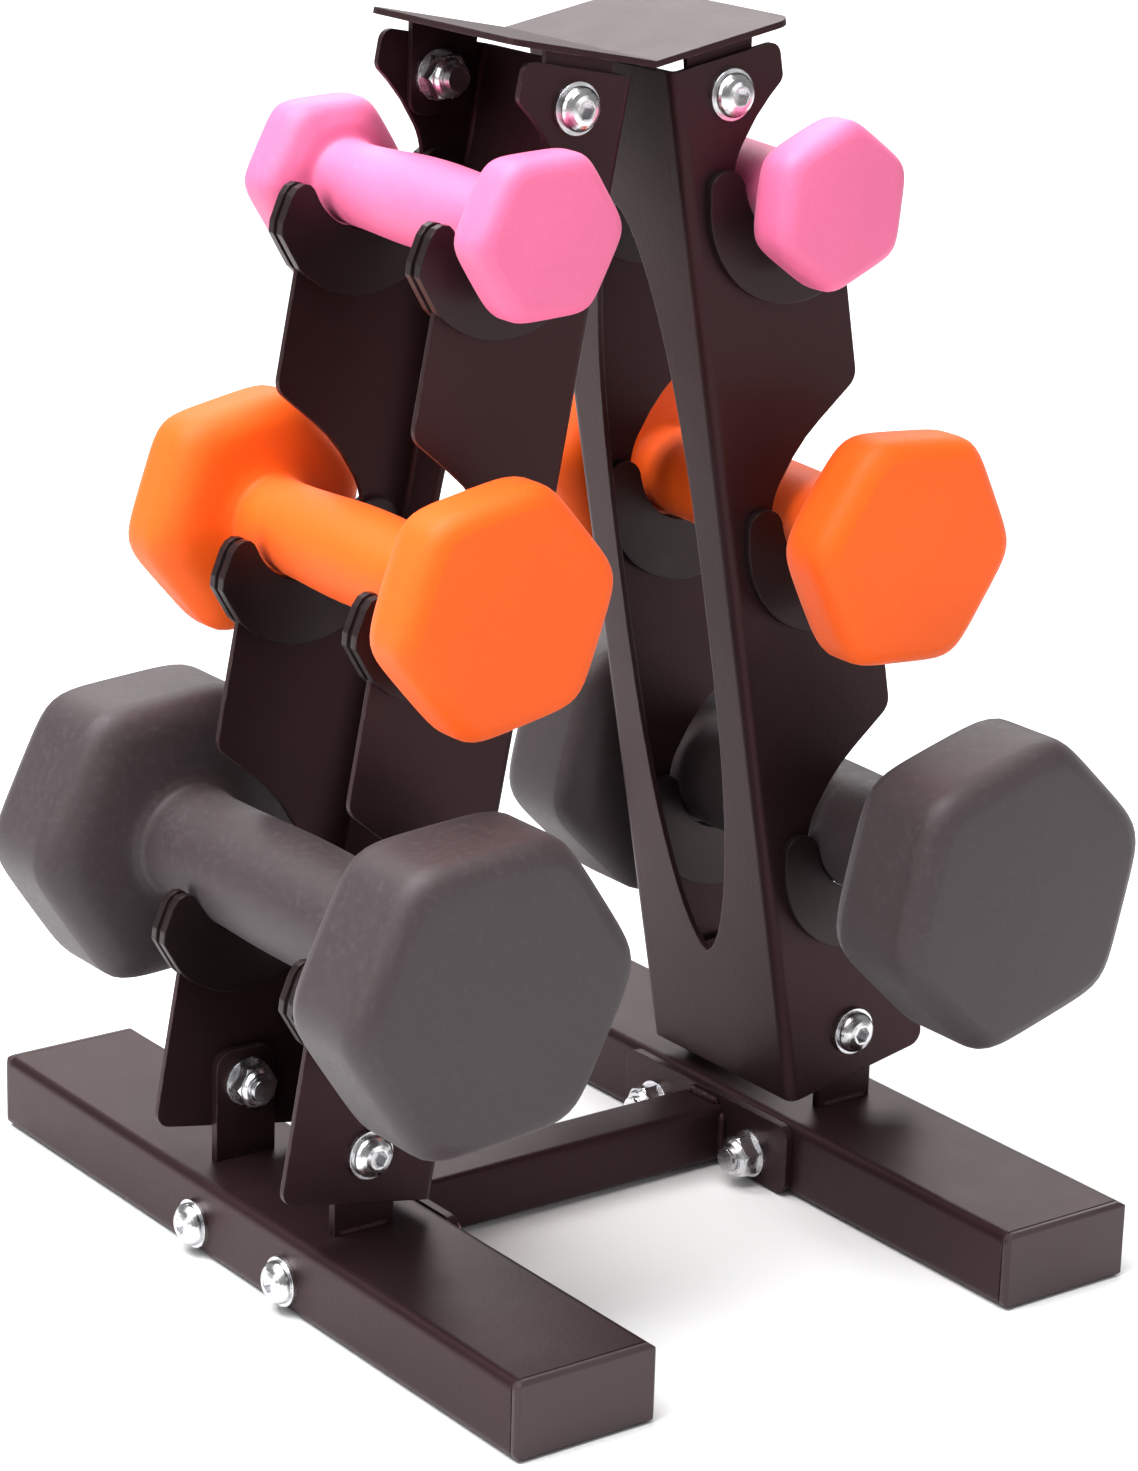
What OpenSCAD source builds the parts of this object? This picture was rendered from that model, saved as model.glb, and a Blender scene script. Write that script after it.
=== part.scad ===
// Two-sided dumbbell rack: an A-frame of two folded panels on a bolted
// H base, with six hex-head dumbbells lying in lined saddles.
// X runs across the rack, Y along the base tubes, Z up. Millimetres.

/* [Base] */
// Length of a base tube over its end caps
base_l = 300; // [240:5:420]
// Distance between the two base tube centres
base_gap = 189; // [160:1:260]
// Width of a base tube
tube_w = 51; // [40:1:70]
// Height of a base tube
tube_h = 25.5; // [20:0.5:40]
// Outer corner radius of a base tube
tube_r = 3.5; // [1.5:0.5:6]
// Wall of the tubes
wall = 1.6; // [1.2:0.1:3]
// Thickness of an end cap's cover
cap_t = 3; // [2:0.5:5]
// Side of the square cross bar
bar_s = 20; // [15:1:30]
// Height of the cross bar's underside above the floor
bar_z = 1.5; // [0:0.5:5]
// Length of a cross bar end plate along the tube
plate_l = 88; // [60:2:120]
// Half spacing of the two bolts in an end plate
base_bolt_y = 26; // [18:1:40]
// Height of the base bolts
base_bolt_z = 10; // [8:0.5:16]

/* [Panels] */
// Lean of each side panel from upright, in degrees
lean = 10.7; // [6:0.1:16]
// Distance of a panel's lower fold from the middle
foot_x = 72.4; // [60:0.2:90]
// Height of a panel's lower fold
foot_z = 30.6; // [27:0.2:40]
// Length of a panel up its slope
panel_u = 353; // [300:1:420]
// Width of a panel over its two flanges
panel_w = 76; // [60:1:100]
// Sheet thickness
sheet = 2; // [1.5:0.1:3]
// Outside radius of the folds
fold_r = 3.5; // [2.5:0.5:6]
// Depth of a flange at its outer straight edges
flange_v = 58; // [50:1:70]
// Depth of a flange at its top corner
flange_top_v = 41.5; // [36:0.5:56]
// Height of the long slot's lower tip up the slope
slot_lo = 45; // [35:1:80]
// Height of the long slot's upper tip up the slope
slot_hi = 306; // [260:1:330]
// Half width of the long slot
slot_half = 22.5; // [12:0.5:28]

/* [Saddles] */
// Heights of the three saddles up the slope, lowest first
tiers = [78, 192, 303];
// Distance of a saddle's middle from the web
saddle_v = 40.2; // [30:0.5:45]
// Radius of the saddle cut in the sheet
saddle_r = 22; // [18:0.5:26]
// Radius of the liner's resting surface
liner_in = 20.1; // [17:0.1:25]
// Outer radius of a liner's cheeks
liner_out = 33.4; // [30:0.5:40]
// Thickness of one liner cheek
cheek = 2.8; // [2:0.2:5]

/* [Top bracket] */
// Height of the bracket's fold line
top_z = 382; // [370:1:400]
// Reach of one wing from the fold line, along the wing
wing_l = 53; // [40:1:70]
// Length of the bracket along the fold line
wing_w = 78; // [66:1:100]

/* [Dumbbells] */
// Across flats of the three head sizes, lowest pair first
head_af = [94, 72.5, 48.5];
// Length of one head, lowest pair first
head_l = [47.5, 31, 24];
// Overall length, lowest pair first
bell_l = [220, 162, 133];
// Handle radius at the ends of the grip, lowest pair first
grip_r = [18.6, 14.2, 12.7];
// Thickness of the soft coat
coat_t = 2.2; // [1:0.2:4]

/* [Hidden] */
$fn = 48;
e = 0.01;

steel = [0.20, 0.17, 0.17];
plastic = [0.12, 0.11, 0.11];
bright = [0.80, 0.80, 0.82];
iron = [0.30, 0.30, 0.31];
tints = [[0.30, 0.27, 0.28], [0.98, 0.46, 0.16], [0.97, 0.45, 0.70]];

// M8 hardware
bolt_r = 4;
hole_r = 4.4;
washer_r = 8;
washer_t = 1.6;
nut_h = 7.5;
flange_y = panel_w / 2;              // outer face of a flange
tab_t = 3;                           // foot tab thickness
clip_t = 2;                          // bracket clip thickness
liner_u = 8.6;                       // height of a liner's bore centre over its tier
play = 0.15;                         // gap between neighbouring plates

// points on the slope of the right-hand panel: u up the slope, v outwards
function px(u, v) = foot_x - u * sin(lean) + v * cos(lean);
function pz(u, v) = foot_z + u * cos(lean) + v * sin(lean);
top_u = 341.5;  top_v = 20.5;        // upper panel bolt
foot_u = 16.2;  foot_v = 28;         // lower panel bolt
top_bx = px(top_u, top_v);    top_bz = pz(top_u, top_v);
foot_bx = px(foot_u, foot_v); foot_bz = pz(foot_u, foot_v);

// arc of n steps from angle a to angle b
function arc(cx, cy, r, a, b, n) =
  [for (i = [0:n]) [cx + r * cos(a + (b - a) * i / n), cy + r * sin(a + (b - a) * i / n)]];
// corner of a path rounded with radius r, given its two neighbours
function unit(p) = p / norm(p);
function corner(a, p, b, r, n = 5) =
  let (da = unit(a - p), db = unit(b - p), half = acos(da * db) / 2,
       cut = r / tan(half), mid = p + unit(da + db) * r / sin(half),
       s = p + da * cut - mid, t = p + db * cut - mid,
       sa = atan2(s[1], s[0]), ta = atan2(t[1], t[0]),
       turn = ta - sa > 180 ? ta - sa - 360 : (ta - sa < -180 ? ta - sa + 360 : ta - sa))
  arc(mid[0], mid[1], r, sa, sa + turn, n);
// closed path of [x, y, r] points with every corner rounded
function rounded(p) = [for (i = [0:len(p) - 1])
  let (q = p[i], a = p[(i + len(p) - 1) % len(p)], b = p[(i + 1) % len(p)])
  each (q[2] > 0 ? corner([a[0], a[1]], [q[0], q[1]], [b[0], b[1]], q[2])
                 : [[q[0], q[1]]])];

module mirror_x(s) { if (s < 0) mirror([1, 0, 0]) children(); else children(); }
module mirror_y(s) { if (s < 0) mirror([0, 1, 0]) children(); else children(); }

// bar along Y with rounded long edges, centred on X and Y, from z = 0
module round_bar(l, w, h, r) {
  translate([-w / 2 + r, -l / 2, 0]) cube([w - 2 * r, l, h]);
  translate([-w / 2, -l / 2, r]) cube([w, l, h - 2 * r]);
  for (x = [-w / 2 + r, w / 2 - r], z = [r, h - r])
    translate([x, l / 2, z]) rotate([90, 0, 0]) cylinder(r = r, h = l);
}

// ---------- base ----------
module base_tube(s) {
  l = base_l - 2 * cap_t;
  color(steel) translate([s * base_gap / 2, 0, 0]) difference() {
    round_bar(l, tube_w, tube_h, tube_r);
    translate([0, 0, wall])
      round_bar(l + 2, tube_w - 2 * wall, tube_h - 2 * wall, tube_r - wall);
    for (y = [-base_bolt_y, base_bolt_y])
      translate([-tube_w, y, base_bolt_z]) rotate([0, 90, 0]) cylinder(r = hole_r, h = 2 * tube_w);
  }
}

module end_cap(s, f) {
  color(plastic) translate([s * base_gap / 2, 0, 0]) mirror_y(f)
    translate([0, base_l / 2 - cap_t, 0]) {
      difference() {
        translate([0, cap_t / 2, 0]) round_bar(cap_t, tube_w, tube_h, tube_r);
        // softened outer rim, and a fine seam against the tube
        for (k = [[cap_t, 1.6], [0, 0.7]]) {
          for (x = [-1, 1]) translate([x * tube_w / 2, k[0], tube_h / 2])
            rotate([0, 0, 45]) cube([k[1], k[1], tube_h + 2], center = true);
          for (z = [0, tube_h]) translate([0, k[0], z])
            rotate([45, 0, 0]) cube([tube_w + 2, k[1], k[1]], center = true);
        }
      }
      // plug with a hollow middle, pushed into the tube
      difference() {
        translate([0, -6, wall + play])
          round_bar(12, tube_w - 2 * wall - 2 * play, tube_h - 2 * wall - 2 * play, 1.6);
        translate([0, -7.5, 4.6]) round_bar(11, tube_w - 9.2, tube_h - 9.2, 1);
      }
    }
}

module bar_tube() {
  l = base_gap - tube_w - 6;
  color(steel) rotate([0, 0, 90]) translate([0, 0, bar_z]) difference() {
    round_bar(l, bar_s, bar_s, 2.5);
    translate([0, 0, wall]) round_bar(l + 2, bar_s - 2 * wall, bar_s - 2 * wall, 1);
  }
}

module end_plate(s) {
  x0 = base_gap / 2 - tube_w / 2 - 3;
  color(steel) mirror_x(s) difference() {
    translate([x0, 0, 0.7]) rotate([90, 0, 90]) linear_extrude(3)
      polygon(rounded([[-plate_l / 2, 0, 5], [plate_l / 2, 0, 5],
                       [plate_l / 2, 24, 5], [-plate_l / 2, 24, 5]]));
    for (y = [-base_bolt_y, base_bolt_y])
      translate([x0 - 2, y, base_bolt_z]) rotate([0, 90, 0]) cylinder(r = hole_r, h = 8);
  }
}

// upright tab welded on a base tube, inside a panel flange
module foot_tab(s, f) {
  h = foot_bz + 11 - tube_h;
  color(steel) mirror_x(s) mirror_y(f)
    translate([foot_bx, flange_y - sheet - play, tube_h]) rotate([90, 0, 0]) difference() {
      union() {
        linear_extrude(tab_t) polygon(rounded([[-11, 0, 0], [11, 0, 0], [11, h, 6], [-11, h, 6]]));
        // weld run along the foot
        for (z = [0, tab_t - 0.1]) translate([-10.5, 0, 0]) rotate([0, 90, 0])
          translate([0, z, 0]) intersection() {
            cylinder(r = 1.9, h = 21);
            translate([-4, -4, -1]) cube([4, 8, 24]);
          }
      }
      translate([-30, -10, -5]) cube([60, 10, 15]);
      translate([0, foot_bz - tube_h, -1]) cylinder(r = hole_r, h = tab_t + 2);
    }
}

// ---------- side panels ----------
// outline of a flange: v outwards, u up the slope
function tier_path(u) = concat(
  [[flange_v, u - 24], [flange_v + 0.4, u - 22.2], [64, u - 15.8], [64.9, u - 12.5],
   [64, u - 6.5], [62.6, u - 4.6], [59, u - 4.4]],
  arc(saddle_v, u + 8, saddle_r, -36.5, -226, 30),
  [[29.6, u + 28.9], [35.6, u + 33.9], [41.5, u + 37.6]]);
function flange_path() = concat(
  [[-1, 0]],
  corner([0, 0], [flange_v - 0.5, 0], [flange_v - 0.5, 40], 5),
  [for (i = [0:1]) each concat(tier_path(tiers[i]),
    corner([41.5, tiers[i] + 37.6], [flange_v, tiers[i] + 46.8],
           [flange_v, tiers[i] + 70], 6, 6))],
  [for (p = tier_path(tiers[2])) if (p[1] < tiers[2] + 36) p],
  corner([35.6, tiers[2] + 33.9], [flange_top_v, tiers[2] + 38], [flange_top_v, 353], 3.5),
  corner([flange_top_v, 330], [flange_top_v, panel_u], [0, panel_u], 4),
  [[-1, panel_u]]);

// half width of the long slot at height u
function slot_w(u) = let (m = (slot_lo + slot_hi) / 2, t = abs(u - m) / (slot_hi - slot_lo) * 2)
  slot_half * pow(max(0, 1 - pow(t, 2.6)), 0.6);
function slot_path(n = 40) = let (
  us = [for (i = [0:n]) (slot_lo + slot_hi) / 2 - (slot_hi - slot_lo) / 2 * cos(180 * i / n)])
  concat([for (u = us) [slot_w(u), u]],
         [for (i = [n - 1:-1:1]) [-slot_w(us[i]), us[i]]]);

// stands the (v, y, u) panel space on the base
module on_slope() { translate([foot_x, 0, foot_z]) rotate([0, -lean, 0]) children(); }

module panel(s) {
  color(steel) mirror_x(s) on_slope() difference() {
    intersection() {
      difference() {
        // folded channel, open outwards
        union() {
          translate([0, -flange_y + fold_r, 0]) cube([80, panel_w - 2 * fold_r, panel_u]);
          translate([fold_r, -flange_y, 0]) cube([80, panel_w, panel_u]);
          for (y = [-flange_y + fold_r, flange_y - fold_r])
            translate([fold_r, y, 0]) cylinder(r = fold_r, h = panel_u);
        }
        translate([sheet, -flange_y + fold_r, -1])
          cube([90, panel_w - 2 * fold_r, panel_u + 2]);
        translate([fold_r, -flange_y + sheet, -1])
          cube([90, panel_w - 2 * sheet, panel_u + 2]);
        for (y = [-flange_y + fold_r, flange_y - fold_r])
          translate([fold_r, y, -1]) cylinder(r = fold_r - sheet, h = panel_u + 2);
      }
      translate([0, flange_y + 1, 0]) rotate([90, 0, 0])
        linear_extrude(panel_w + 2) polygon(flange_path());
    }
    // long slot through the web
    translate([-2, 0, 0]) rotate([90, 0, 90]) linear_extrude(8) polygon(slot_path());
    for (b = [[top_u, top_v], [foot_u, foot_v]])
      translate([b[1], flange_y + 5, b[0]]) rotate([90, 0, 0])
        cylinder(r = hole_r, h = panel_w + 10);
  }
}

// outline of a saddle liner; d pulls in its outer rim
function liner_path(u, d) = concat(
  arc(saddle_v + 0.5, u + liner_u, liner_in, -34, -178, 24),
  arc(13.6, u + 9.3, 7 - d, -8, 150, 10),
  arc(39.6, u + 1.2, liner_out - d, 168, 306, 26),
  [[63.4 - d / 2, u - 21.2 + d], [67.6 - d, u - 16.4], [67.9 - d, u - 12.6],
   [66.2 - d, u - 4.4], [64.7 - d, u - 1.6 - d / 2], [62.6, u - 0.2 - d],
   [60.2, u - 0.1 - d / 2], [58.6, u - 1.1]]);

module liner(s, f, i) {
  u = tiers[i];
  y0 = flange_y - sheet / 2;
  color(plastic) mirror_x(s) mirror_y(f) on_slope() translate([0, y0, 0]) rotate([90, 0, 0])
    difference() {
      union() {
        for (z = [-sheet / 2 - cheek, sheet / 2 + play / 2])
          translate([0, 0, z]) linear_extrude(cheek - play / 2) polygon(liner_path(u, 0));
        translate([0, 0, -sheet / 2 - 0.5]) linear_extrude(sheet + 1) polygon(liner_path(u, 1.1));
      }
      // the sheet's edge sits in a groove
      translate([0, 0, -sheet / 2 - play / 2]) linear_extrude(sheet + play)
        polygon([for (p = flange_path()) [p[0] + (p[0] > 50 ? 0.15 : 0), p[1]]]);
    }
}

// ---------- top bracket ----------
module top_bracket() {
  color(steel) difference() {
    union() {
      for (s = [-1, 1]) mirror_x(s) {
        // wing, rising outwards
        translate([0, 0, top_z]) rotate([0, -lean, 0]) translate([0, 0, -clip_t])
          linear_extrude(clip_t)
            polygon(rounded([[-clip_t * tan(lean / 2), -wing_w / 2, 0], [wing_l, -wing_w / 2, 6],
                             [wing_l, wing_w / 2, 6], [-clip_t * tan(lean / 2), wing_w / 2, 0]]));
        // clips folded down inside the flanges
        for (f = [-1, 1]) mirror_y(f)
          translate([top_bx, flange_y - sheet - play, 0]) rotate([90, 0, 0])
            linear_extrude(clip_t) polygon(rounded([
              [-12.5, top_bz - 12.5, 4], [9.5, top_bz - 12.5, 5],
              [9.5, top_z - 1.2 + (top_bx + 9.5) * tan(lean), 0],
              [-15.5, top_z - 1.2 + (top_bx - 15.5) * tan(lean), 0]]));
      }
    }
    // trim the two wings where they meet under the fold
    translate([-100, -60, top_z + 30]) cube([200, 120, 1]);
    for (s = [-1, 1], f = [-1, 1])
      translate([s * top_bx, f * flange_y + 10, top_bz]) rotate([90, 0, 0])
        cylinder(r = hole_r, h = 20);
  }
}

// ---------- fasteners: each stands on z = 0 with its shank along -Z ----------
module button_bolt(l) {
  difference() {
    union() {
      rotate_extrude() polygon([[0, 0], [7, 0], [7, 0.7], [6.85, 1.4], [6.4, 2.3], [5.6, 3.2],
                                [4.5, 3.95], [3.3, 4.4], [0, 4.4]]);
      translate([0, 0, -l]) cylinder(r = bolt_r, h = l + e);
    }
    translate([0, 0, 1.9]) cylinder(r = 2.9, h = 4, $fn = 6);
  }
}
module washer() {
  difference() { cylinder(r = washer_r, h = washer_t); translate([0, 0, -1]) cylinder(r = 4.2, h = 4); }
}
// lock nut with its plastic collar, sitting on z = 0
module lock_nut() {
  difference() {
    union() {
      intersection() {
        cylinder(r = 7.51, h = 6, $fn = 6);
        rotate_extrude() polygon([[0, 0], [6.9, 0], [7.6, 0.7], [7.6, 5.1], [6.7, 6], [0, 6]]);
      }
      rotate_extrude() polygon([[0, 5], [6.1, 5], [6.1, 6.4], [5.4, nut_h], [0, nut_h]]);
    }
    translate([0, 0, -1]) cylinder(r = 4.15, h = 12);
  }
}

// seats for the three groups of fasteners: outer face and inner face along Y or X
module at_top() {
  for (s = [-1, 1], f = [-1, 1]) translate([s * top_bx, 0, top_bz]) mirror_y(f)
    rotate([-90, 0, 0]) children();
}
module at_foot() {
  for (s = [-1, 1], f = [-1, 1]) translate([s * foot_bx, 0, foot_bz]) mirror_y(f)
    rotate([-90, 0, 0]) children();
}
module at_base() {
  for (s = [-1, 1], f = [-1, 1]) translate([0, f * base_bolt_y, base_bolt_z]) mirror_x(s)
    rotate([0, 90, 0]) children();
}
top_in = flange_y - sheet - play - clip_t;
foot_in = flange_y - sheet - play - tab_t;
base_out = base_gap / 2 + tube_w / 2;
base_in = base_gap / 2 - tube_w / 2 - 3;

module top_bolts() { color(bright) at_top() translate([0, 0, flange_y + washer_t]) button_bolt(18); }
module top_washers() {
  color(bright) at_top() { translate([0, 0, flange_y]) washer();
    translate([0, 0, top_in - washer_t]) washer(); }
}
module top_nuts() {
  color(bright) at_top() translate([0, 0, top_in - washer_t]) mirror([0, 0, 1]) lock_nut();
}
module foot_bolts() {
  color(bright) at_foot() translate([0, 0, flange_y + washer_t]) button_bolt(18);
}
module foot_washers() {
  color(bright) at_foot() { translate([0, 0, flange_y]) washer();
    translate([0, 0, foot_in - washer_t]) washer(); }
}
module foot_nuts() {
  color(bright) at_foot() translate([0, 0, foot_in - washer_t]) mirror([0, 0, 1]) lock_nut();
}
module base_bolts() {
  color(bright) at_base() translate([0, 0, base_out + washer_t]) button_bolt(67);
}
module base_washers() {
  color(bright) at_base() { translate([0, 0, base_out]) washer();
    translate([0, 0, base_in - washer_t]) washer(); }
}
module base_nuts() {
  color(bright) at_base() translate([0, 0, base_in - washer_t]) mirror([0, 0, 1])
    rotate([0, 0, 12]) lock_nut();
}

// ---------- dumbbells ----------
// turned outline of half a dumbbell, from its middle (z = 0) to its end; g shrinks it
function grip(z, r, zh) = r * (1 + (r > 16 ? 0.06 : 0.10) * pow(cos(90 * min(1, z / zh)), 2));
function bell_half(i, g) = let (
  h = bell_l[i] / 2, l = head_l[i], r = grip_r[i], zh = h - l, R = head_af[i] * 0.548,
  w = min(1, l / 30))
  concat(
    [for (k = [0:7]) [grip(zh * k / 8, r, zh * 0.85) - g, zh * k / 8]],
    [[r + 0.2 - g, zh - 1.2 + g], [r + 1.3 - g, zh + 0.3 + g], [r + 4 * w, zh + 1.2 + g],
     [R * 0.72, zh + 2.6 * w + g], [R * 0.86 - g / 2, zh + 5.4 * w + g],
     [R * 0.955 - g, zh + 9.6 * w + g * 0.8], [R - g, zh + 14 * w],
     [R - g, h - 9.5 * w], [R * 0.965 - g, h - 5.2 * w - g], [R * 0.90 - g, h - 2.4 * w - g],
     [R * 0.80 - g, h - 0.9 * w - g], [R * 0.62, h - g], [0, h - g]]);

module bell_body(i, g, turn) {
  h = bell_l[i] / 2;
  zh = h - head_l[i];
  for (m = [0, 1]) mirror([0, 0, m]) intersection() {
    rotate_extrude($fn = 72) polygon(concat([[0, 0]], bell_half(i, g)));
    union() {
      translate([0, 0, -e]) cylinder(r = grip_r[i] * 1.12, h = zh + 2);
      rotate([0, 0, turn]) translate([0, 0, zh - 1])
        cylinder(r = (head_af[i] / 2 - g) / cos(30), h = head_l[i] + 2, $fn = 6);
    }
  }
}

// rest height of a handle in its liner, and the roll of each dumbbell
function bell_x(i) = px(tiers[i] + liner_u, saddle_v + 0.5);
function bell_z(s, i) = let (
  y = flange_y - sheet - cheek - abs(shifts[s > 0 ? 1 : 0][i]),
  r = grip(y, grip_r[i], (bell_l[i] / 2 - head_l[i]) * 0.85))
  pz(tiers[i] + liner_u, saddle_v + 0.5) - (liner_in - 0.32 - r);
rolls = [[4, 11, 3], [16, -4, 24]];
shifts = [[3, 2, 0.5], [-12, -5, -0.5]];

module place_bell(s, i) {
  translate([s * bell_x(i), shifts[s > 0 ? 1 : 0][i], bell_z(s, i)]) rotate([90, 0, 0]) children();
}
module core(s, i) {
  color(iron) place_bell(s, i) bell_body(i, coat_t, rolls[s > 0 ? 1 : 0][i]);
}
module coat(s, i) {
  color(tints[i]) place_bell(s, i) difference() {
    bell_body(i, 0, rolls[s > 0 ? 1 : 0][i]);
    bell_body(i, coat_t - 0.1, rolls[s > 0 ? 1 : 0][i]);
  }
}

base_tube(-1);  // base_tube_left
base_tube(1);  // base_tube_right
end_cap(-1, -1);  // end_cap_left_front
end_cap(-1, 1);  // end_cap_left_rear
end_cap(1, -1);  // end_cap_right_front
end_cap(1, 1);  // end_cap_right_rear
bar_tube();  // cross_bar
end_plate(-1);  // end_plate_left
end_plate(1);  // end_plate_right
foot_tab(-1, -1);  // foot_tab_left_front
foot_tab(-1, 1);  // foot_tab_left_rear
foot_tab(1, -1);  // foot_tab_right_front
foot_tab(1, 1);  // foot_tab_right_rear
panel(-1);  // panel_left
panel(1);  // panel_right
top_bracket();
liner(-1, -1, 0);  // liner_left_front_low
liner(-1, -1, 1);  // liner_left_front_mid
liner(-1, -1, 2);  // liner_left_front_top
liner(-1, 1, 0);  // liner_left_rear_low
liner(-1, 1, 1);  // liner_left_rear_mid
liner(-1, 1, 2);  // liner_left_rear_top
liner(1, -1, 0);  // liner_right_front_low
liner(1, -1, 1);  // liner_right_front_mid
liner(1, -1, 2);  // liner_right_front_top
liner(1, 1, 0);  // liner_right_rear_low
liner(1, 1, 1);  // liner_right_rear_mid
liner(1, 1, 2);  // liner_right_rear_top
top_bolts();
top_washers();
top_nuts();
foot_bolts();
foot_washers();
foot_nuts();
base_bolts();
base_washers();
base_nuts();
core(-1, 0);  // core_left_low
core(-1, 1);  // core_left_mid
core(-1, 2);  // core_left_top
core(1, 0);  // core_right_low
core(1, 1);  // core_right_mid
core(1, 2);  // core_right_top
coat(-1, 0);  // coat_left_low
coat(-1, 1);  // coat_left_mid
coat(-1, 2);  // coat_left_top
coat(1, 0);  // coat_right_low
coat(1, 1);  // coat_right_mid
coat(1, 2);  // coat_right_top
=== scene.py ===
import math

import bpy
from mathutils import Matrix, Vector


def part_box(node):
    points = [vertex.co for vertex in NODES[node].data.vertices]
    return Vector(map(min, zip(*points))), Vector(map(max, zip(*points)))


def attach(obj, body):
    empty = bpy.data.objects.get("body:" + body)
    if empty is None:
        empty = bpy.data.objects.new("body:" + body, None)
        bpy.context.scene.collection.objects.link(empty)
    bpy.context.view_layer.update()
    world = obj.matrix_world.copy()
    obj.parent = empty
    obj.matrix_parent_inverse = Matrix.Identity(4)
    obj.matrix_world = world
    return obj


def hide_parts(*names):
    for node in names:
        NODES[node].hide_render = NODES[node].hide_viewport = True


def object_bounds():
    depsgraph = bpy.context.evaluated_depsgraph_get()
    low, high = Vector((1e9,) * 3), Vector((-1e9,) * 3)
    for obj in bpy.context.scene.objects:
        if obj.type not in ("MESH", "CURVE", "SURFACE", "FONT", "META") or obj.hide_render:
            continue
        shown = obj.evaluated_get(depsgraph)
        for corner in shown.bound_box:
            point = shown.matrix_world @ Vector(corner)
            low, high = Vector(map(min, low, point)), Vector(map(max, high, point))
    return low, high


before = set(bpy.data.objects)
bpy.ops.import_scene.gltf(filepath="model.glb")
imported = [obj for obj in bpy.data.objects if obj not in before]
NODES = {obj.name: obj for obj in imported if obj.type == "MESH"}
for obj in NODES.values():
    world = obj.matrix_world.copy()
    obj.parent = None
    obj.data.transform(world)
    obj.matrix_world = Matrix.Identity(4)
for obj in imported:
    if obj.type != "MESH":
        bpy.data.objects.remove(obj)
CAD_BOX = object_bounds()
scene = bpy.context.scene

SIDES = ("left", "right")
TIERS = ("low", "mid", "top")

# ------------------------------------------------------------------ camera
CAMERA_PLACE = (-0.77369, -1.03841, 0.57001)
CAMERA_TURN = (72.4551, -1.6088, -36.3183)  # degrees about X, Y and Z
CAMERA_LENS = 103.6815                      # mm, on a 36 mm high frame


def make_camera():
    cam = bpy.data.cameras.new("camera")
    cam.sensor_width = 36.0
    cam.lens = CAMERA_LENS
    cam.clip_start, cam.clip_end = 0.05, 50
    ob = bpy.data.objects.new("camera", cam)
    ob.location = CAMERA_PLACE
    ob.rotation_euler = [math.radians(turn) for turn in CAMERA_TURN]
    scene.collection.objects.link(ob)
    scene.camera = ob


make_camera()


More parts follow.
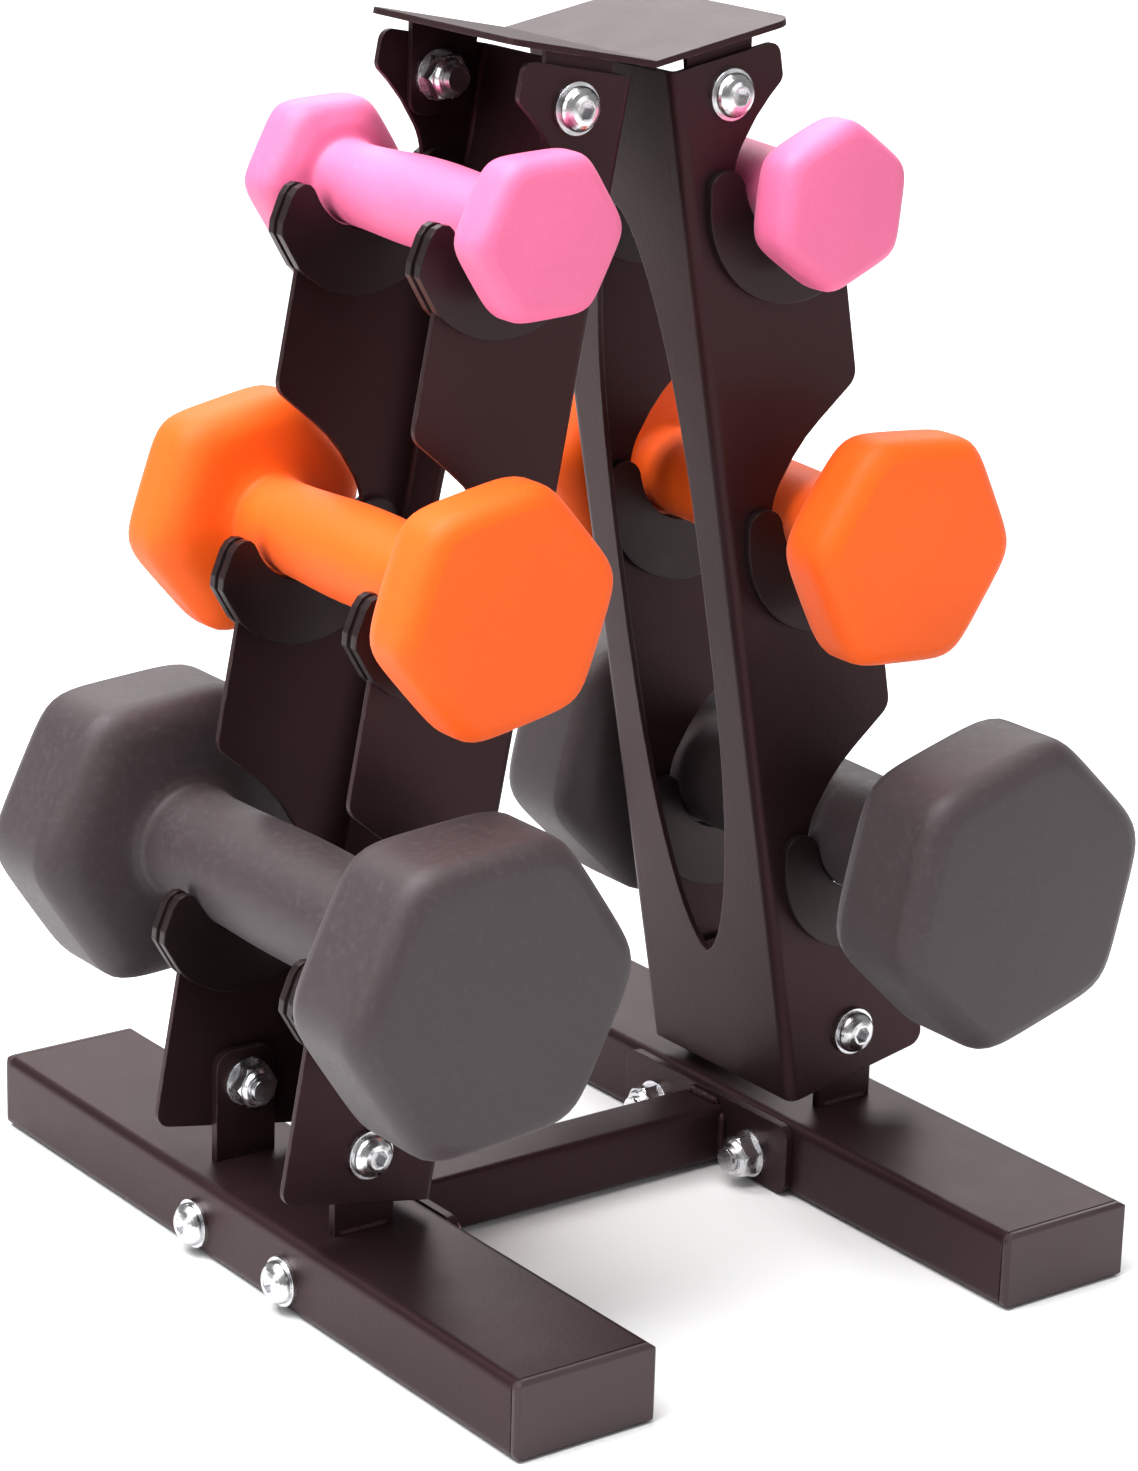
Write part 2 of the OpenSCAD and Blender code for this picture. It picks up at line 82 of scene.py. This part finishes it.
# --------------------------------------------------------------- materials
class Nodes:
    """A material and short calls that add the nodes of its tree."""

    def __init__(self, name):
        self.mat = bpy.data.materials.new(name)
        self.mat.use_nodes = True
        self.tree = self.mat.node_tree
        self.tree.nodes.clear()
        self.out = self.add("ShaderNodeOutputMaterial")
        self.bsdf = self.add("ShaderNodeBsdfPrincipled")
        self.link(self.bsdf.outputs["BSDF"], self.out.inputs["Surface"])
        self.coord = self.add("ShaderNodeTexCoord").outputs["Object"]

    def add(self, kind, **props):
        n = self.tree.nodes.new(kind)
        for k, v in props.items():
            setattr(n, k, v)
        return n

    def link(self, a, b):
        self.tree.links.new(a, b)

    def set(self, **values):
        """Plain values on the shader's own sockets."""
        for k, v in values.items():
            self.bsdf.inputs[k.replace("_", " ")].default_value = v

    def noise(self, scale, detail=2.0, rough=0.5, vec=None):
        n = self.add("ShaderNodeTexNoise")
        n.inputs["Scale"].default_value = scale
        n.inputs["Detail"].default_value = detail
        n.inputs["Roughness"].default_value = rough
        self.link(vec or self.coord, n.inputs["Vector"])
        return n.outputs["Fac"]

    def voronoi(self, scale, feature="F1", vec=None):
        n = self.add("ShaderNodeTexVoronoi", feature=feature)
        n.inputs["Scale"].default_value = scale
        self.link(vec or self.coord, n.inputs["Vector"])
        return n.outputs["Distance"]

    def stretch(self, x, y, z):
        n = self.add("ShaderNodeMapping")
        n.inputs["Scale"].default_value = (x, y, z)
        self.link(self.coord, n.inputs["Vector"])
        return n.outputs["Vector"]

    def remap(self, fac, a, b, lo=0.0, hi=1.0, smooth=False):
        n = self.add("ShaderNodeMapRange")
        if smooth:
            n.interpolation_type = "SMOOTHSTEP"
        for k, v in zip(("From Min", "From Max", "To Min", "To Max"), (a, b, lo, hi)):
            n.inputs[k].default_value = v
        self.link(fac, n.inputs["Value"])
        return n.outputs["Result"]

    def math(self, op, a, b=None):
        n = self.add("ShaderNodeMath", operation=op)
        for i, v in enumerate((a, b)):
            if v is None:
                continue
            if isinstance(v, (int, float)):
                n.inputs[i].default_value = v
            else:
                self.link(v, n.inputs[i])
        return n.outputs[0]

    def mix(self, fac, a, b):
        n = self.add("ShaderNodeMix", data_type="RGBA")
        for socket, v in ((n.inputs[0], fac), (n.inputs[6], a), (n.inputs[7], b)):
            if isinstance(v, (int, float)):
                socket.default_value = v
            elif isinstance(v, tuple):
                socket.default_value = (*v, 1.0)
            else:
                self.link(v, socket)
        return n.outputs[2]

    def bump(self, height, strength, distance, normal=None):
        n = self.add("ShaderNodeBump")
        n.inputs["Strength"].default_value = strength
        n.inputs["Distance"].default_value = distance
        self.link(height, n.inputs["Height"])
        if normal is not None:
            self.link(normal, n.inputs["Normal"])
        return n.outputs["Normal"]

    def bevel(self, radius, samples=4):
        n = self.add("ShaderNodeBevel", samples=samples)
        n.inputs["Radius"].default_value = radius
        return n.outputs["Normal"]

    def edges(self, radius, lo=0.02, hi=0.25):
        """1 on sharp edges, 0 on flat faces, from the bent normal."""
        geo = self.add("ShaderNodeNewGeometry")
        dot = self.add("ShaderNodeVectorMath", operation="DOT_PRODUCT")
        self.link(self.bevel(radius), dot.inputs[0])
        self.link(geo.outputs["True Normal"], dot.inputs[1])
        return self.remap(dot.outputs["Value"], 1 - lo, 1 - hi, 0.0, 1.0, smooth=True)


def powder_coat():
    """Brown-black satin powder coat with orange peel and rubbed sheet edges."""
    m = Nodes("powder_coat")
    big = m.noise(9.0, 3)
    mid = m.noise(70.0, 4, 0.6)
    base = m.mix(m.remap(big, 0.35, 0.65), (0.0150, 0.0075, 0.0082), (0.0190, 0.0094, 0.0102))
    base = m.mix(m.remap(mid, 0.55, 0.80, 0.0, 0.16), base, (0.0300, 0.0180, 0.0190))
    patch = m.remap(m.noise(160.0, 3, 0.6), 0.46, 0.66)
    worn = m.math("MULTIPLY", m.edges(0.0007), m.math("MULTIPLY", patch, 0.55))
    col = m.mix(worn, base, (0.17, 0.15, 0.145))
    m.link(col, m.bsdf.inputs["Base Color"])
    rough = m.remap(mid, 0.3, 0.7, 0.395, 0.435)
    m.link(rough, m.bsdf.inputs["Roughness"])
    peel = m.noise(620.0, 2, 0.5)
    grit = m.noise(2300.0, 2, 0.6)
    fine = m.bump(grit, 0.30, 0.00006, m.bevel(0.0006))
    m.link(m.bump(peel, 0.28, 0.00018, fine), m.bsdf.inputs["Normal"])
    m.set(Specular_IOR_Level=0.28, Specular_Tint=(1.0, 0.50, 0.54, 1.0))
    return m.mat


def plastic(name, base, rough, grain, shine):
    """Moulded plastic: a fine moulded grain, and edges painted paler grey in patches, partly
    real scuffs and partly a painted highlight on the rims.
    """
    m = Nodes(name)
    tone = m.noise(55.0, 3, 0.55)
    dark = tuple(c * 0.82 for c in base)
    col = m.mix(m.remap(tone, 0.35, 0.7), dark, base)
    # Paler grey along the edges in patches: partly real scuffs, partly a painted highlight
    # where the rims catch the bright surroundings.
    scuff = m.remap(m.noise(240.0, 4, 0.65, m.stretch(1, 0.25, 1)), 0.60, 0.74, 0.0, 0.5)
    col = m.mix(m.math("MULTIPLY", m.edges(0.0006), scuff), col, (0.11, 0.10, 0.10))
    m.link(col, m.bsdf.inputs["Base Color"])
    m.link(m.remap(tone, 0.3, 0.7, rough - 0.05, rough + 0.07), m.bsdf.inputs["Roughness"])
    fine = m.bump(m.noise(grain, 2, 0.5), 0.30, 0.00006, m.bevel(0.0008))
    m.link(fine, m.bsdf.inputs["Normal"])
    m.set(Specular_IOR_Level=shine, Specular_Tint=(1.0, 0.76, 0.78, 1.0))
    return m.mat


def zinc():
    """Bright zinc plate, a little mottled."""
    m = Nodes("zinc_hardware")
    tone = m.noise(180.0, 3, 0.6)
    spots = m.remap(m.noise(700.0, 3, 0.7), 0.56, 0.75, 0.0, 0.45)
    col = m.mix(m.remap(tone, 0.35, 0.65), (0.60, 0.60, 0.62), (0.80, 0.80, 0.81))
    col = m.mix(spots, col, (0.42, 0.41, 0.41))
    m.link(col, m.bsdf.inputs["Base Color"])
    m.link(m.remap(tone, 0.3, 0.7, 0.16, 0.32), m.bsdf.inputs["Roughness"])
    fine = m.bump(m.noise(900.0, 3, 0.6), 0.10, 0.00006, m.bevel(0.0004))
    m.link(fine, m.bsdf.inputs["Normal"])
    m.set(Metallic=1.0)
    return m.mat


def cast_iron():
    """Rough grey casting, hidden under the soft coats."""
    m = Nodes("cast_core")
    tone = m.noise(120.0, 4, 0.6)
    col = m.mix(m.remap(tone, 0.3, 0.7), (0.06, 0.058, 0.057), (0.13, 0.125, 0.12))
    m.link(col, m.bsdf.inputs["Base Color"])
    m.link(m.remap(tone, 0.3, 0.7, 0.55, 0.75), m.bsdf.inputs["Roughness"])
    m.link(m.bump(m.noise(500.0, 4, 0.7), 0.6, 0.0004), m.bsdf.inputs["Normal"])
    m.set(Metallic=0.8)
    return m.mat


def rubber(name, base, pale, rough, shine, speck):
    """Matte dipped coat: fine grain, faint tone drift, small paler scuffs."""
    m = Nodes(name)
    big = m.noise(14.0, 2)
    fine = m.noise(420.0, 3, 0.6)
    dark = tuple(c * 0.90 for c in base)
    col = m.mix(m.remap(big, 0.35, 0.65), dark, base)
    col = m.mix(m.remap(fine, 0.50, 0.80, 0.0, speck), col, pale)
    scuff = m.noise(95.0, 5, 0.72, m.stretch(1.0, 0.35, 1.6))
    col = m.mix(m.remap(scuff, 0.66, 0.74, 0.0, 0.22), col, pale)
    m.link(col, m.bsdf.inputs["Base Color"])
    m.link(m.remap(fine, 0.3, 0.7, rough - 0.05, rough + 0.07), m.bsdf.inputs["Roughness"])
    grain = m.bump(m.noise(3200.0, 2, 0.6), 0.35, 0.00005)
    cells = m.bump(m.voronoi(1500.0), 0.22, 0.00006, grain)
    m.link(m.bump(m.noise(60.0, 2), 0.25, 0.0004, cells), m.bsdf.inputs["Normal"])
    m.set(Specular_IOR_Level=shine, Sheen_Weight=0.10, Sheen_Roughness=0.4)
    return m.mat


# name: base colour, paler scuff colour, roughness, shine, how much speckle
COATS = {
    "coat_charcoal": ((0.0385, 0.0260, 0.0290), (0.085, 0.066, 0.072), 0.56, 0.46, 0.34),
    "coat_orange": ((0.97, 0.114, 0.004), (0.99, 0.20, 0.022), 0.56, 0.26, 0.15),
    "coat_pink": ((0.83, 0.150, 0.325), (0.92, 0.30, 0.50), 0.54, 0.44, 0.12),
}
# name: base colour, roughness, grain scale, shine
PLASTICS = {
    "cap_plastic": ((0.042, 0.028, 0.030), 0.44, 1500.0, 0.46),
    "saddle_plastic": ((0.0120, 0.0070, 0.0076), 0.36, 1900.0, 0.34),
}
MATS = {"powder_coat": powder_coat(), "zinc_hardware": zinc(), "cast_core": cast_iron()}
MATS.update({name: plastic(name, *look) for name, look in PLASTICS.items()})
MATS.update({name: rubber(name, *look) for name, look in COATS.items()})


def slot_for(node):
    """The record's material slot of a CAD node."""
    if node.startswith("end_cap"):
        return "cap_plastic"
    if node.startswith("liner"):
        return "saddle_plastic"
    if node.split("_")[-1] in ("bolts", "washers", "nuts"):
        return "zinc_hardware"
    if node.startswith("core"):
        return "cast_core"
    return "powder_coat"


def dress_cad_nodes():
    for name, ob in NODES.items():
        if name.startswith("coat"):
            continue
        mat = MATS[slot_for(name)]
        if not ob.data.materials:
            ob.data.materials.append(mat)
        for slot in ob.material_slots:
            slot.material = mat


dress_cad_nodes()


# ------------------------------------------------------------ mesh helpers
def new_piece(name, verts, faces, slot, body):
    """A smooth mesh piece with a slot's material, riding on a body."""
    me = bpy.data.meshes.new(name)
    me.from_pydata([tuple(v) for v in verts], [], faces)
    me.validate()
    me.shade_smooth()
    ob = bpy.data.objects.new(name, me)
    scene.collection.objects.link(ob)
    me.materials.append(MATS[slot])
    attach(ob, body)
    return ob


def loft(rings):
    """Vertices and faces of a closed skin over rings of equally many points."""
    n = len(rings[0])
    verts = [p for r in rings for p in r]
    faces = []
    for k in range(len(rings) - 1):
        for i in range(n):
            j = (i + 1) % n
            faces.append((k * n + i, k * n + j, (k + 1) * n + j, (k + 1) * n + i))
    first, last = len(verts), (len(rings) - 1) * n
    for ring in (rings[0], rings[-1]):
        verts.append(sum((Vector(p) for p in ring), Vector()) / n)
    for i in range(n):
        j = (i + 1) % n
        faces.append((first, j, i))
        faces.append((first + 1, last + i, last + j))
    return verts, faces


def smooth_curve(points, per):
    """Catmull-Rom curve through the points, with per steps between two."""
    out = []
    p = [points[0]] + list(points) + [points[-1]]
    for i in range(1, len(p) - 2):
        for k in range(per):
            t = k / per
            out.append(tuple(
                0.5 * (2 * b + (c - a) * t + (2 * a - 5 * b + 4 * c - d) * t * t
                       + (3 * b - a - 3 * c + d) * t ** 3)
                for a, b, c, d in zip(p[i - 1], p[i], p[i + 1], p[i + 2])))
    out.append(tuple(points[-1]))
    return out


# --------------------------------------------------------------- dumbbells
# metres; swell is how much thicker the handle is in its middle than at its ends
BELLS = {
    "low": dict(flats=0.094, head=0.0475, grip=0.0186, fillet=0.0098, swell=0.06),
    "mid": dict(flats=0.0725, head=0.031, grip=0.0142, fillet=0.0080, swell=0.10),
    "top": dict(flats=0.0485, head=0.024, grip=0.0127, fillet=0.0062, swell=0.10),
}
TINT = {"low": "coat_charcoal", "mid": "coat_orange", "top": "coat_pink"}
# how far each dumbbell has rolled in its saddle, in degrees, as its CAD core has
ROLL = {"left": {"low": 4, "mid": 11, "top": 3}, "right": {"low": 16, "mid": -4, "top": 24}}
RING_POINTS = 96
CORNER_POWER = 12.6    # the higher, the sharper the corners of a hexagon
SCALE_HEAD = 0.030     # heads at least this long have the neck at full length
# neck, then shoulder: metres past the head's inner face, size, 0 round .. 1 hexagonal;
# the size is metres added to the handle's radius, then a share of half the flats
NECK = [(0.0005, 0.0009, 0.0), (0.0015, 0.0024, 0.03), (0.0026, 0.0056, 0.12)]
SHOULDER = [(0.0040, 0.785, 0.50), (0.0066, 0.900, 0.80), (0.0098, 0.965, 0.95),
            (0.0132, 0.994, 1.0), (0.0158, 1.0, 1.0)]


def hex_radius(angle, apothem):
    """Radius of a hexagon with soft corners."""
    total = 0.0
    for k in range(6):
        c = math.cos(angle - math.radians(60 * k + 30))
        if c > 0:
            total += c ** CORNER_POWER
    return apothem / total ** (1 / CORNER_POWER)


def bell_profile(b, half):
    """(distance from the middle, radius, 0 round .. 1 hexagonal) out to one end."""
    a, grip, f = b["flats"] / 2, b["grip"], b["fillet"]
    inner = half - b["head"]
    prof = []
    for k in range(9):
        z = (inner - 0.0040) * k / 8
        barrel = math.cos(math.pi / 2 * min(1, z / (inner * 0.85))) ** 2
        prof.append((z, grip * (1 + b["swell"] * barrel), 0.0))
    prof.append((inner - 0.0012, grip + 0.0002, 0.0))
    w = min(1.0, b["head"] / SCALE_HEAD)
    prof += [(inner + z * w, grip + r * w, h) for z, r, h in NECK]
    prof += [(inner + z * w, a * r, h) for z, r, h in SHOULDER]
    start, stop = prof[-1][0], half - f * 1.12
    prof += [((start + stop) / 2, a, 1.0), (stop, a, 1.0)]
    # rounded rim, then a faintly crowned end face
    for deg in (18, 36, 54, 70, 82):
        s, c = math.sin(math.radians(deg)), math.cos(math.radians(deg))
        prof.append((half - 0.0007 - f + f * s, a - f * 0.92 + f * 0.92 * c, 1.0))
    prof += [(half - 0.00045, (a - f) * 0.82, 1.0), (half - 0.0002, (a - f) * 0.52, 0.9),
             (half, (a - f) * 0.22, 0.6)]
    return smooth_curve(prof, 3)


def bell(side, tier):
    """The soft coat of one dumbbell, lofted along its handle, which lies along Y."""
    node = f"coat_{side}_{tier}"
    lo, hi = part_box(node)
    mid = (lo + hi) / 2
    roll = math.radians(ROLL[side][tier])
    line = bell_profile(BELLS[tier], (hi.y - lo.y) / 2)
    ends = []
    for sign in (-1, 1):
        part = []
        for z, r, hexed in line:
            ring = []
            for i in range(RING_POINTS):
                t = 2 * math.pi * i / RING_POINTS
                rr = r * (1 - hexed) + hex_radius(t, r) * hexed
                ring.append(Vector((mid.x + rr * math.cos(t + roll), mid.y - sign * z,
                                    mid.z + rr * math.sin(t + roll))))
            part.append(ring)
        ends.append(part)
    verts, faces = loft(ends[0][::-1] + ends[1][1:])
    ob = new_piece(f"bell_{side}_{tier}", verts, faces, TINT[tier], f"dumbbell_{side}_{tier}")
    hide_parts(node)


for side in SIDES:
    for tier in TIERS:
        bell(side, tier)


# -------------------------------------------------------------- weld beads
WELD_PITCH = 0.0032    # one ripple of the bead
WELD_POINTS = 12       # points round the bead
TAB_BEAD = 0.0021      # bead radius at the foot tabs
BAR_BEAD = 0.0019      # bead radius at the cross bar


def weld(name, start, stop, radius):
    """A straight rippled bead, tapered at both ends."""
    start, stop = Vector(start), Vector(stop)
    total = (stop - start).length
    along = (stop - start).normalized()
    side = along.orthogonal().normalized()
    up = along.cross(side)
    steps = max(8, int(total / WELD_PITCH * 6))
    rings = []
    for k in range(steps + 1):
        s = total * k / steps
        at = start.lerp(stop, k / steps)
        taper = min(1.0, min(s, total - s) / (radius * 1.2) + 0.25)
        ripple = 1.0 + 0.13 * (1 - (s / WELD_PITCH) % 1.0) ** 1.5
        wobble = 1.0 + 0.06 * math.sin(s * 900.0 + total * 70)
        r = radius * ripple * taper * wobble * 0.9
        rings.append([at + (side * math.cos(2 * math.pi * j / WELD_POINTS)
                            + up * math.sin(2 * math.pi * j / WELD_POINTS)) * r
                      for j in range(WELD_POINTS)])
    verts, faces = loft(rings)
    new_piece(name, verts, faces, "powder_coat", "rack")


def tab_welds(side):
    """A bead along the inner foot of each tab."""
    for end in ("front", "rear"):
        lo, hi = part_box(f"foot_tab_{side}_{end}")
        z = lo.z + 0.0002
        y = lo.y + 0.0019 if end == "rear" else hi.y - 0.0019
        weld(f"tab_weld_{side}_{end}", (lo.x + 0.001, y, z), (hi.x - 0.001, y, z), TAB_BEAD)


def bar_welds(side):
    """Beads on three sides where the cross bar meets its end plate."""
    s = -1 if side == "left" else 1
    out = 0.0004           # how far a bead stands off the bar
    lo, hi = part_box("cross_bar")
    plate_lo, plate_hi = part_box(f"end_plate_{side}")
    x = (plate_lo.x if s > 0 else plate_hi.x) - s * 0.0006
    for y, tag in ((lo.y - out, "front"), (hi.y + out, "rear")):
        weld(f"bar_weld_{side}_{tag}", (x, y, lo.z + 0.003), (x, y, hi.z - 0.0025), BAR_BEAD)
    top = hi.z + out
    weld(f"bar_weld_{side}_over", (x, lo.y + 0.002, top), (x, hi.y - 0.002, top), BAR_BEAD)


for side in SIDES:
    tab_welds(side)
    bar_welds(side)


# ---------------------------------------------------------- floor and light
FLOOR_HALF = 4.0
STUDIO_GREY = 0.30     # strength of the white world
# name: place, aim, size, watts
LIGHTS = {
    "key": ((-0.55, 0.15, 1.75), (0, 0, 0.15), (1.7, 1.5), 76),
    "left": ((-1.9, -0.1, 0.9), (0, 0, 0.18), (1.1, 1.1), 8),
    "front": ((0.7, -1.8, 0.8), (0, 0, 0.15), (1.2, 1.0), 6),
    "far_floor": ((2.1, 2.8, 2.2), (2.1, 2.8, 0), (3.4, 3.4), 150),
}


def floor():
    """A plain pale floor just under the feet."""
    h = FLOOR_HALF
    me = bpy.data.meshes.new("floor")
    me.from_pydata([(-h, -h, 0), (h, -h, 0), (h, h, 0), (-h, h, 0)], [], [(0, 1, 2, 3)])
    ob = bpy.data.objects.new("floor", me)
    ob.location.z = CAD_BOX[0].z - 0.0002
    scene.collection.objects.link(ob)
    m = Nodes("floor")
    tone = m.remap(m.noise(1.2, 2), 0.3, 0.7)
    m.link(m.mix(tone, (0.88, 0.88, 0.885), (0.90, 0.90, 0.90)), m.bsdf.inputs["Base Color"])
    m.set(Roughness=0.75, Specular_IOR_Level=0.2)
    me.materials.append(m.mat)


def area_light(name, at, aim, size, watts):
    """A white rectangular lamp that faces its aim."""
    lamp = bpy.data.lights.new(name, "AREA")
    lamp.shape, lamp.size, lamp.size_y = "RECTANGLE", size[0], size[1]
    lamp.energy = watts
    ob = bpy.data.objects.new(name, lamp)
    scene.collection.objects.link(ob)
    ob.location = at
    ob.rotation_euler = (Vector(aim) - Vector(at)).to_track_quat("-Z", "Y").to_euler()


def studio_world():
    world = bpy.data.worlds.new("studio")
    world.use_nodes = True
    background = world.node_tree.nodes["Background"].inputs
    background["Color"].default_value = (1, 1, 1, 1)
    background["Strength"].default_value = STUDIO_GREY
    scene.world = world


floor()
for name, lamp in LIGHTS.items():
    area_light(name, *lamp)
studio_world()
scene.view_settings.view_transform = "Standard"
